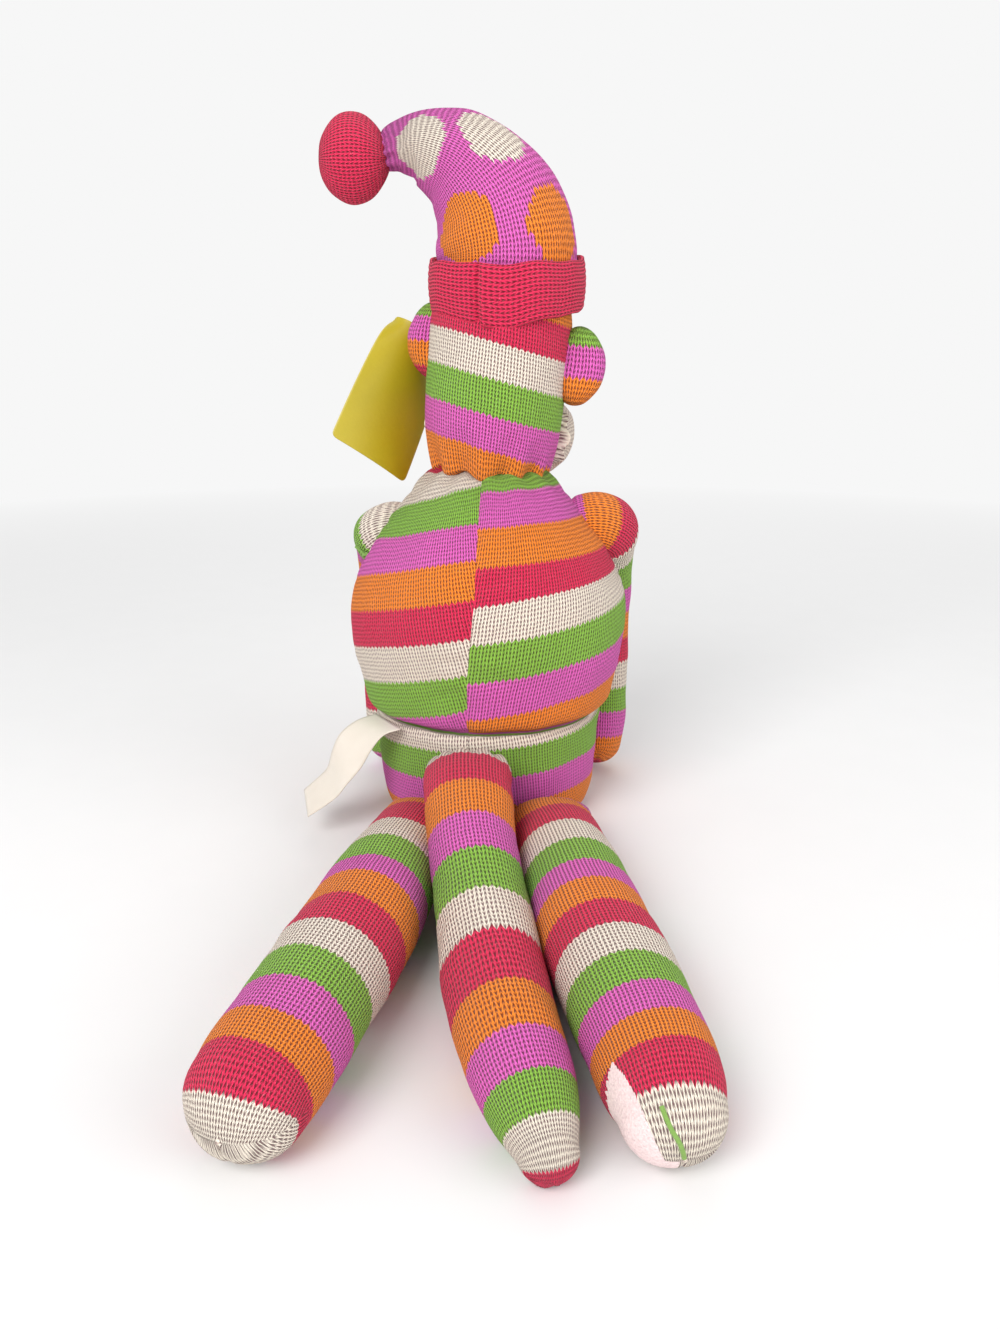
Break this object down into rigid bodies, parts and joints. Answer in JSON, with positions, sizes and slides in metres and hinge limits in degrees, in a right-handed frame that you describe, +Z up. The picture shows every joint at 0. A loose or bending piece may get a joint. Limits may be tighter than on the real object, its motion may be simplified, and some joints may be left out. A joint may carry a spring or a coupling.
{
  "type": "stuffed sock monkey doll",
  "caption": "Seated knitted sock monkey doll in bright stripes, with a dotted stocking cap, legs and tail lying behind, a swing tag and a ribbon label.",
  "frame": {"origin": "middle of the flat that the seat rests on", "axes": "+Z up, +Y the way the doll faces, +X towards the doll's right hand"},
  "size_m": [0.1314, 0.2729, 0.269],
  "materials": {
    "striped_knit": "soft knitted cotton, stripes in cream, green, pink, orange and red",
    "cream_knit": "soft knitted cotton",
    "red_knit": "soft knitted cotton",
    "dotted_knit": "soft knitted cotton with large cream and orange dots",
    "red_yarn": "stitched yarn",
    "green_yarn": "stitched yarn",
    "polyester_fill": "loose fibre",
    "black_plastic": "gloss",
    "ribbon": "satin ribbon",
    "yellow_card": "matte card",
    "clear_nylon": "translucent"
  },
  "bodies": {
    "torso": {"torso_back_left": "striped_knit", "torso_back_right": "striped_knit", "torso_front": "striped_knit", "torso_seat": "striped_knit", "torso_stuffing": "polyester_fill"},
    "head": {"head_cover": "striped_knit", "head_stuffing": "polyester_fill", "muzzle": "cream_knit", "mouth": "red_yarn", "nostril_left": "black_plastic", "nostril_right": "black_plastic", "eye_left": "black_plastic", "eye_right": "black_plastic", "ear_left": "striped_knit", "ear_right": "striped_knit", "tag_fastener": "clear_nylon"},
    "hat": {"hat_cuff": "red_knit", "hat_crown": "dotted_knit", "hat_stuffing": "polyester_fill"},
    "pompom": {"hat_pompom": "red_knit"},
    "tag": {"hang_tag": "yellow_card"},
    "label": {"care_label": "ribbon"},
    "arm_left": {"arm_left_cover": "striped_knit", "arm_left_stuffing": "polyester_fill", "arm_left_knot": "green_yarn"},
    "arm_right": {"arm_right_cover": "striped_knit", "arm_right_stuffing": "polyester_fill"},
    "leg_left": {"leg_left_cover": "striped_knit", "leg_left_stuffing": "polyester_fill", "leg_left_seam": "striped_knit"},
    "leg_right": {"leg_right_cover": "striped_knit", "leg_right_stuffing": "polyester_fill", "leg_right_seam": "striped_knit"},
    "tail": {"tail_cover": "striped_knit", "tail_stuffing": "polyester_fill", "tail_seam": "striped_knit"}
  },
  "joints": [
    {"name": "neck_turn", "type": "hinge", "parent": "torso", "child": "head", "pos_m": [0.0005, 0, 0.1412], "axis": [0.0958, 0, 0.9954], "range_deg": [-35, 35], "stiffness_Nm_per_rad": 0.05},
    {"name": "hat_turn", "type": "hinge", "parent": "head", "child": "hat", "pos_m": [0.0005, 0, 0.1412], "axis": [0.0958, 0, 0.9954], "range_deg": [-45, 45]},
    {"name": "pompom_turn", "type": "hinge", "parent": "hat", "child": "pompom", "pos_m": [-0.04778, 0, 0.25121], "axis": [1, 0, 0], "range_deg": [-90, 90], "stiffness_Nm_per_rad": 0.001},
    {"name": "tag_swing", "type": "hinge", "parent": "head", "child": "tag", "pos_m": [-0.02648, 0.01411, 0.19017], "axis": [-0.6157, 0.788, 0], "range_deg": [0, 60]},
    {"name": "label_flap", "type": "hinge", "parent": "torso", "child": "label", "pos_m": [-0.03837, -0.02635, 0.0455], "axis": [-0.6293, 0.7771, 0], "range_deg": [-15, 60], "stiffness_Nm_per_rad": 0.002},
    {"name": "shoulder_left", "type": "hinge", "parent": "torso", "child": "arm_left", "pos_m": [-0.0446, 0.009, 0.1168], "axis": [0, 1, 0], "range_deg": [0, 130]},
    {"name": "shoulder_right", "type": "hinge", "parent": "torso", "child": "arm_right", "pos_m": [0.0446, 0.009, 0.1168], "axis": [0, -1, 0], "range_deg": [0, 130]},
    {"name": "hip_left", "type": "hinge", "parent": "torso", "child": "leg_left", "pos_m": [-0.02143, -0.03625, 0.0112], "axis": [-0.9397, 0.342, 0], "range_deg": [-60, 0]},
    {"name": "hip_right", "type": "hinge", "parent": "torso", "child": "leg_right", "pos_m": [0.02143, -0.03625, 0.0112], "axis": [-0.9397, -0.342, 0], "range_deg": [-60, 0]},
    {"name": "tail_lift", "type": "hinge", "parent": "torso", "child": "tail", "pos_m": [-0.0066, -0.04625, 0.0365], "axis": [-1, 0, 0], "range_deg": [0, 70]}
  ]
}
